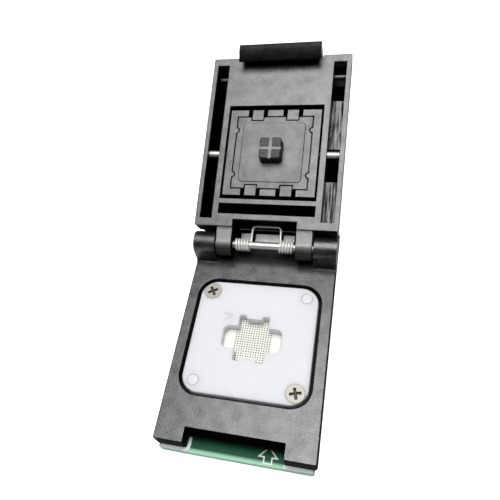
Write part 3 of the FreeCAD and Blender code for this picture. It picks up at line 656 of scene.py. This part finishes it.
dowel_white = plain_material("dowel_white", (0.2, 1.5, 0.06), "Patches",
                             (0.76, 0.76, 0.78, 1), (0.84, 0.85, 0.88, 1), (0.35, 0.5))
dowel_profile = bar_profile(DOWEL_RADIUS, BOARD_TOP + 0.05, PLATE_TOP, 0.12)
dowels = joined([turned(dowel_profile, (place, place, 0), (0, 0, 1), (1, 0, 0))
                 for place in (FASTENER, -FASTENER)])
new_object("dowel_pair", mesh_from("dowel_pair", *dowels), "base", dowel_white,
           ("guide_plate_dowels",))

# Hinge pin. A ground steel rod through both pairs of ears. It is held in the housing's ears,
# and the lid turns on it.

HINGE_Y = 19.7
HINGE_Z = 10.8
HINGE_RADIUS = 0.75
HINGE_HALF = 14.6
steel = metal("ground_steel", (0.66, 0.64, 0.60, 1), (0.90, 0.88, 0.84, 1), 0.44, 0.08,
              streak=(90.0, 5000.0, 5000.0))
pin = turned(bar_profile(HINGE_RADIUS, -HINGE_HALF, HINGE_HALF, 0.12), (0, HINGE_Y, HINGE_Z),
             (1, 0, 0), (0, 1, 0), 48)
new_object("hinge_rod", mesh_from("hinge_rod", *pin), "base", steel, ("hinge_pin",))

# Hinge spring. One bent steel wire: a coil round the pin at each side with its tail down on
# the housing, and a square loop between them that pushes the lid open.

LID_SWING = 159.0
WIRE_RADIUS = 0.25
COIL_RADIUS = 1.1
COIL_TURNS = 5 - (LID_SWING - 90.0) / 360.0
COIL_PITCH = 0.6
TAIL_STEPS = 8
LOOP_HALF = 3.045
LOOP_REACH = 4.45
LOOP_CORNER = 0.8
COIL_END = LOOP_HALF + 0.12


def wire(path, guide, radius, sides=16):
    """Round wire: a circle carried along a path. At each point the circle stands across the
    path's direction, one spoke on the guide direction, and both ends close to a point."""
    path = np.asarray(path, float)
    ahead = np.gradient(path, axis=0)
    ahead /= np.linalg.norm(ahead, axis=1)[:, None]
    third = np.cross(ahead, guide)
    third /= np.linalg.norm(third, axis=1)[:, None]
    spoke = np.cross(third, ahead)
    angle = np.linspace(0, 2 * np.pi, sides, endpoint=False)
    ring = (path[:, None] + radius * (np.cos(angle)[None, :, None] * spoke[:, None]
                                      + np.sin(angle)[None, :, None] * third[:, None]))
    start, end = (np.repeat(path[i, None, None], sides, axis=1) for i in (0, -1))
    points = np.vstack([start, ring, end]).reshape(-1, 3)
    return points, grid_faces(len(path) + 2, sides, closed=True)


def coil_place(angle, side):
    """Point of the coil at an angle counted from its outer end: around the pin by the angle and
    inwards along it by the pitch."""
    outer = COIL_END + COIL_TURNS * COIL_PITCH
    x = side * (outer - COIL_PITCH * angle / (2 * np.pi))
    return np.stack([x, HINGE_Y + COIL_RADIUS * np.cos(angle),
                     HINGE_Z + COIL_RADIUS * np.sin(angle)], axis=-1)


def radial(points):
    """Direction away from the hinge axis."""
    away = points - [0, HINGE_Y, HINGE_Z]
    away[:, 0] = 0
    return away / np.linalg.norm(away, axis=1)[:, None]


def swung(points):
    """Points of the closed lid after it has swung open."""
    lid_angle = math.radians(-LID_SWING)
    points = np.asarray(points, float) - [0, HINGE_Y, HINGE_Z]
    turn = np.array([[1, 0, 0], [0, math.cos(lid_angle), -math.sin(lid_angle)],
                     [0, math.sin(lid_angle), math.cos(lid_angle)]])
    return points @ turn.T + [0, HINGE_Y, HINGE_Z]


# Near-white steel with a low Metallic: partly the wire's bright finish and partly a painted
# highlight, so that the thin wire reads bright all over, also in the lid's shade.
spring_steel = metal("spring_steel", (0.86, 0.85, 0.81, 1), (0.99, 0.98, 0.95, 1), 0.33, 0.08,
                     share=0.35)
for side, label in ((-1, "left"), (1, "right")):
    coil = coil_place(np.linspace(0, COIL_TURNS * 2 * np.pi, int(COIL_TURNS * 36)), side)
    foot = np.array([coil[0, 0], coil[0, 1], BASE_TOP + 0.06])
    tail = np.linspace(foot, coil[0] - [0, 0, 0.12], TAIL_STEPS)
    path = np.vstack([tail, coil])
    guide = np.vstack([np.repeat(radial(coil[:1]), TAIL_STEPS, axis=0), radial(coil)])
    coil_mesh = mesh_from("coil_" + label, *wire(path, guide, WIRE_RADIUS), degrees=60)
    new_object("spring_coil_" + label, coil_mesh, "base", spring_steel,
               ("hinge_spring_" + label,))


def loop_half():
    """Half of the loop on the right: the last stretch of the coil, the straight leg along its
    tangent, the rounded corner and half of the cross bar. Leg and bar are drawn with the lid
    closed, as (x, s in front of the pin, height w), and swung open."""
    end = COIL_TURNS * 2 * np.pi
    arc = coil_place(np.linspace(end - math.radians(LID_SWING), end, 20), 1)
    s = np.linspace(0.15, LOOP_REACH - LOOP_CORNER, 14)
    x = COIL_END + (LOOP_HALF - COIL_END) * (s / s[-1])
    turn = np.linspace(0, np.pi / 2, 10)[1:]
    corner_x = LOOP_HALF - LOOP_CORNER * (1 - np.cos(turn))
    corner_s = LOOP_REACH - LOOP_CORNER * (1 - np.sin(turn))
    bar_x = np.linspace(LOOP_HALF - LOOP_CORNER, 0, 8)[1:]
    x = np.concatenate([x, corner_x, bar_x])
    s = np.concatenate([s, corner_s, np.full(len(bar_x), LOOP_REACH)])
    leg = np.stack([x, HINGE_Y - s, np.full(len(s), HINGE_Z + COIL_RADIUS)], axis=-1)
    return arc, swung(leg)


arc, leg = loop_half()
right = np.vstack([arc, leg])
left = right[::-1][1:] * [-1, 1, 1]
above = swung([[0, HINGE_Y, HINGE_Z + 1.0]])[0] - [0, HINGE_Y, HINGE_Z]
right_guide = np.vstack([radial(arc), np.repeat(above[None], len(leg), axis=0)])
loop = wire(np.vstack([right, left]), np.vstack([right_guide, right_guide[::-1][1:]]), WIRE_RADIUS)
new_object("spring_loop", mesh_from("spring_loop", *loop, degrees=60), "lid",
           spring_steel, ("hinge_spring_loop",))

# Lid housing. One black moulding: a thick frame with the presser well, two long side slots,
# a rear slot and the latch pocket, turning on the hinge pin by two inner ears. The pairs of
# millimetres are where a mask begins and where it is full.

FACE_POINT = (0.0, 18.571 * MM, 13.741 * MM)
FACE_INWARD = (0.0, 0.3584, -0.9336)
LID_ALONG = (0.0, 0.9336, 0.3584)
HINGE_POINT = (0.0, HINGE_Y * MM, HINGE_Z * MM)
LID_SKIN = (8.05, 7.9)
LID_SIDE = (14.8, 14.6)
LID_END = (38.4, 38.2)
DEEP_FLOOR = (4.5, 4.8)
SLOT_DEPTH = (0.4, 1.0)
SLOT_LEFT = (-11.3, -11.5)
SLOT_RIGHT = (11.3, 11.5)
POCKET_SIDE = (6.80, 6.77)
POCKET_END = (7.2, 7.0)
POCKET_DEPTH = (0.3, 0.6)
EARS_FAR = (0.2, -1.4)
EARS_NEAR = (3.0, 2.4)


def distance_along(tree, start, direction):
    """Distance from a point along a direction: (place - point) . direction."""
    away = add(tree, "ShaderNodeVectorMath", {0: object_point(tree), 1: start},
               operation="SUBTRACT").outputs[0]
    return dot(tree, away, direction)


def lid_along(tree):
    """Distance along the lid from the hinge axis."""
    return distance_along(tree, HINGE_POINT, LID_ALONG)


def lid_shade_and_streaks(tree, surface):
    """Inside the lid: painted shade on its deep floors, the left slot, the spring's pocket and the
    far side of the ears, and dark drawn streaks on the right slot's pads. Depth is counted
    inwards from the lid's inner face. The outer skin, the lid's end and its sides are left out."""
    depth = distance_along(tree, FACE_POINT, FACE_INWARD)
    along = lid_along(tree)
    across = object_xyz(tree)[0]
    aside = magnitude(tree, across)
    inside = calc(tree, "MULTIPLY", spread_mm(tree, depth, *LID_SKIN),
                  spread_mm(tree, aside, *LID_SIDE), spread_mm(tree, along, *LID_END))
    deep = calc(tree, "MULTIPLY", inside, spread_mm(tree, depth, *DEEP_FLOOR))
    sunk = calc(tree, "MULTIPLY", inside, spread_mm(tree, depth, *SLOT_DEPTH))
    left_slot = calc(tree, "MULTIPLY", sunk, spread_mm(tree, across, *SLOT_LEFT))
    streaks = spread(tree, streaked(tree, (2600.0, 190.0, 190.0)), 0.42, 0.66, 0.0, 0.85)
    right_slot = calc(tree, "MULTIPLY", sunk, spread_mm(tree, across, *SLOT_RIGHT), streaks)
    pocket = calc(tree, "MULTIPLY", spread_mm(tree, aside, *POCKET_SIDE),
                  spread_mm(tree, along, *POCKET_END), spread_mm(tree, depth, *POCKET_DEPTH))
    far_side = spread_mm(tree, along, *EARS_FAR, 0.0, 0.8)
    return calc(tree, "MAXIMUM", deep, pocket, left_slot, right_slot, far_side)


def ears_painted_light(tree):
    """Painted light on the round ears at the hinge: paler, with a wider sheen than the flat face.
    """
    return spread_mm(tree, lid_along(tree), *EARS_NEAR, 0.0, 0.85)


lid_black = black_plastic("lid_black", 0.24, 0.020, 0.33, painted_shade_and_matt=lid_shade_and_streaks, painted_light=ears_painted_light)
rounded_copy("lid_housing", "lid_moulding", "lid", lid_black, 0.10)

# Presser pins and latch pin. Short ground pins across the side slots carry the presser, and
# a thin pin near the lid's end carries the latch. With the lid closed, s is the distance in
# front of the hinge pin and w the height over it.

STUB_S = 19.7
STUB_W = -1.45
STUB_RADIUS = 0.75
STUB_INNER = 8.4
STUB_OUTER = 14.4
LATCH_PIN_S = 38.4
LATCH_PIN_W = 0.35
LATCH_PIN_RADIUS = 0.5
LATCH_PIN_HALF = 14.35
PIN_SHADE = (11.2, 10.8)


def lid_bar(radius, x0, x1, s, w, edge):
    """Bar along X in the lid, its place given with the lid closed and swung open."""
    place = swung([(0, HINGE_Y - s, HINGE_Z + w)])[0]
    return turned(bar_profile(radius, x0, x1, edge), place, (1, 0, 0), (0, 1, 0), 40)


def pin_painted_shade(tree, surface):
    """Painted shade where the pins leave the walls of the well."""
    return spread_mm(tree, magnitude(tree, object_xyz(tree)[0]), *PIN_SHADE)


pin_steel = metal("pin_steel", (0.60, 0.58, 0.55, 1), (0.86, 0.84, 0.80, 1), 0.46, 0.08,
                  shaded=pin_painted_shade)
# The latch rod's steel is painted dark, as the shade that it lies in inside the slots.
shaded_rod_steel = metal("shaded_rod_steel", (0.14, 0.14, 0.13, 1), (0.26, 0.26, 0.25, 1), 0.44, 0.08)
for label, low, high in (("left", -STUB_OUTER, -STUB_INNER), ("right", STUB_INNER, STUB_OUTER)):
    stub = lid_bar(STUB_RADIUS, low, high, STUB_S, STUB_W, 0.15)
    new_object("stub_pin_" + label, mesh_from("stub_pin_" + label, *stub), "lid",
               pin_steel, ("presser_pin_" + label,))
rod = lid_bar(LATCH_PIN_RADIUS, -LATCH_PIN_HALF, LATCH_PIN_HALF, LATCH_PIN_S, LATCH_PIN_W, 0.08)
new_object("latch_rod", mesh_from("latch_rod", *rod), "lid", shaded_rod_steel, ("latch_pin",))

# Presser. A black frame with a rim and four snap hooks, the square insert that the hooks
# hold, and the block with a cross groove that presses on the chip.

GROOVE_ALONG = (0.28, 0.34)
GROOVE_ACROSS = (0.36, 0.42)


def gap_painted_shade(tree, surface):
    """Painted shade: dark lines along the edges, where the gaps between the parts fall in shade.
    """
    return spread(tree, surface["Edges"], 0.0, 0.35)


def pad_dull(tree, surface):
    """The four pads beside the block's polished cross groove, which is counted from the
    presser's axis across the lid and along it."""
    along = magnitude(tree, calc(tree, "SUBTRACT", lid_along(tree), STUB_S * MM))
    across = magnitude(tree, object_xyz(tree)[0])
    pads = calc(tree, "MINIMUM", spread_mm(tree, along, *GROOVE_ALONG),
                spread_mm(tree, across, *GROOVE_ACROSS))
    return calc(tree, "MULTIPLY", pads, from_noise(tree, surface["Grain"], 0.30, 0.50))


presser_black = black_plastic("presser_black", 0.24, 0.018, 0.34, painted_shade_and_matt=gap_painted_shade, edge_mm=0.15)
insert_black = black_plastic("insert_black", 0.24, 0.020, 0.34, 0.9, gap_painted_shade, edge_mm=0.15)
pusher_black = black_plastic("pusher_black", 0.20, 0.026, 0.36, 1.15, pad_dull)
for node, name, black in (("presser_carrier", "presser_frame", presser_black),
                          ("presser_plate", "presser_insert", insert_black),
                          ("chip_pusher", "pusher_block", pusher_black)):
    rounded_copy(node, name, "presser", black, 0.05)

# Latch. A black hooked bar across the lid's free end, which turns on the latch pin. Two
# small coil springs behind its plate keep the hook turned in.

LATCH_SPRING_TURNS = 5
LATCH_SPRING_RADIUS = 0.88
LATCH_SPRING_X = 3.5
LATCH_SPRING_S = 36.9
LATCH_SPRING_W = 2.75
LATCH_SPRING_LENGTH = 4.2
LATCH_WIRE = 0.14

latch_black = black_plastic("latch_black", 0.22, 0.008, 0.36, 0.08)
rounded_copy("latch_lever", "latch_bar", "latch", latch_black, 0.08)


def latch_coil(side):
    """Coil behind the latch: a helix along the lid's length, drawn closed and swung open."""
    angle = np.linspace(0, LATCH_SPRING_TURNS * 2 * np.pi, LATCH_SPRING_TURNS * 24)
    s = LATCH_SPRING_S + LATCH_SPRING_LENGTH * angle / angle[-1]
    middle = np.stack([np.full_like(s, side * LATCH_SPRING_X), HINGE_Y - s,
                       np.full_like(s, HINGE_Z + LATCH_SPRING_W)], axis=-1)
    spoke = np.stack([np.cos(angle), np.zeros_like(s), np.sin(angle)], axis=-1)
    path = swung(middle + LATCH_SPRING_RADIUS * spoke)
    return wire(path, path - swung(middle), LATCH_WIRE, 10)


coils = joined([latch_coil(-1), latch_coil(1)])
new_object("latch_coils", mesh_from("latch_coils", *coils, degrees=60), "lid",
           spring_steel, ("latch_springs",))

# Floor, light and view. A pale floor under the plug pins that shows its shade only under
# the board and the lid, one large soft lamp overhead, a weak even sky, and a camera where
# the photograph was taken.

FLOOR_HALF = 1500
SHADE_BESIDE = (9.5, 13.5)
SHADE_BEFORE = (-12.0, -20.0)
SHADE_BEHIND = (38.0, 70.0)

floor_mesh = mesh_from("floor", [(x * FLOOR_HALF, y * FLOOR_HALF, PIN_LOW)
                                 for x, y in ((-1, -1), (1, -1), (1, 1), (-1, 1))],
                       [(0, 1, 2, 3)])
floor = in_scene("floor", floor_mesh)
floor_white, tree, shader = new_material("floor_white")
surface = grained(tree, 3.0, 80.0, 0.1)
tree.links.new(blend_colours(tree, surface["Patches"], (0.95, 0.95, 0.955, 1),
                             (0.97, 0.97, 0.975, 1)), shader.inputs["Base Color"])
shader.inputs["Roughness"].default_value = 0.9
shader.inputs["Specular IOR Level"].default_value = 0.1
seen = add(tree, "ShaderNodeLightPath").outputs["Is Camera Ray"]
x, y, z = object_xyz(tree)
shade = calc(tree, "MULTIPLY", spread_mm(tree, magnitude(tree, x), *SHADE_BESIDE, 1.0, 0.0),
             spread_mm(tree, y, *SHADE_BEFORE, 1.0, 0.0),
             spread_mm(tree, y, *SHADE_BEHIND, 1.0, 0.0))
shader.inputs["Emission Color"].default_value = (1.0, 1.0, 1.0, 1)
tree.links.new(calc(tree, "MULTIPLY", seen, by_mask(tree, shade, 1.0, 0.0)),
               shader.inputs["Emission Strength"])
floor_mesh.materials.append(floor_white)

LAMP_DISTANCE = 0.42
LAMP_SIZE = (0.30, 0.34)
LAMP_POWER = 1.95
LAMP_AIM = Vector((0.0, 0.020, 0.012))
lamp_way = Vector((0.0, 0.08, 1.0)).normalized()
lamp_data = bpy.data.lights.new("softbox", "AREA")
lamp_data.shape = "RECTANGLE"
lamp_data.size, lamp_data.size_y = LAMP_SIZE
lamp_data.energy = LAMP_POWER
lamp = in_scene("softbox", lamp_data)
lamp.matrix_world = Matrix.Translation(LAMP_AIM + lamp_way * LAMP_DISTANCE) @ (
    lamp_way.to_track_quat("Z", "Y").to_matrix().to_4x4())

SKY_LIGHT = 0.10
SKY_SEEN = 1.0
sky = bpy.data.worlds.new("sky")
sky.use_nodes = True
tree = sky.node_tree
background = tree.nodes["Background"]
background.inputs["Color"].default_value = (0.95, 0.97, 1.0, 1)
seen = add(tree, "ShaderNodeLightPath").outputs["Is Camera Ray"]
tree.links.new(by_mask(tree, seen, SKY_LIGHT, SKY_SEEN), background.inputs["Strength"])
bpy.context.scene.world = sky

FOCAL_PX = 513.0
CENTRE_PX = (207.64, 267.70)
FRAME_PX = 500.0
SENSOR_MM = 36.0
CAMERA_PLACE = (18.92, -39.39, 100.14)
CAMERA_RIGHT = (0.958, 0.2048, -0.2009)
CAMERA_UP = (-0.0712, 0.8481, 0.525)
CAMERA_BACK = (0.2779, -0.4886, 0.8271)
camera_data = bpy.data.cameras.new("view")
camera_data.sensor_width = SENSOR_MM
camera_data.lens = SENSOR_MM * FOCAL_PX / FRAME_PX
camera_data.shift_x = (FRAME_PX / 2 - CENTRE_PX[0]) / FRAME_PX
camera_data.shift_y = (CENTRE_PX[1] - FRAME_PX / 2) / FRAME_PX
camera_data.clip_start = 0.005
camera = in_scene("view", camera_data)
turn = Matrix((CAMERA_RIGHT, CAMERA_UP, CAMERA_BACK)).transposed().to_4x4()
camera.matrix_world = Matrix.Translation(Vector(CAMERA_PLACE) * MM) @ turn
bpy.context.scene.camera = camera
bpy.context.scene.view_settings.view_transform = "Standard"
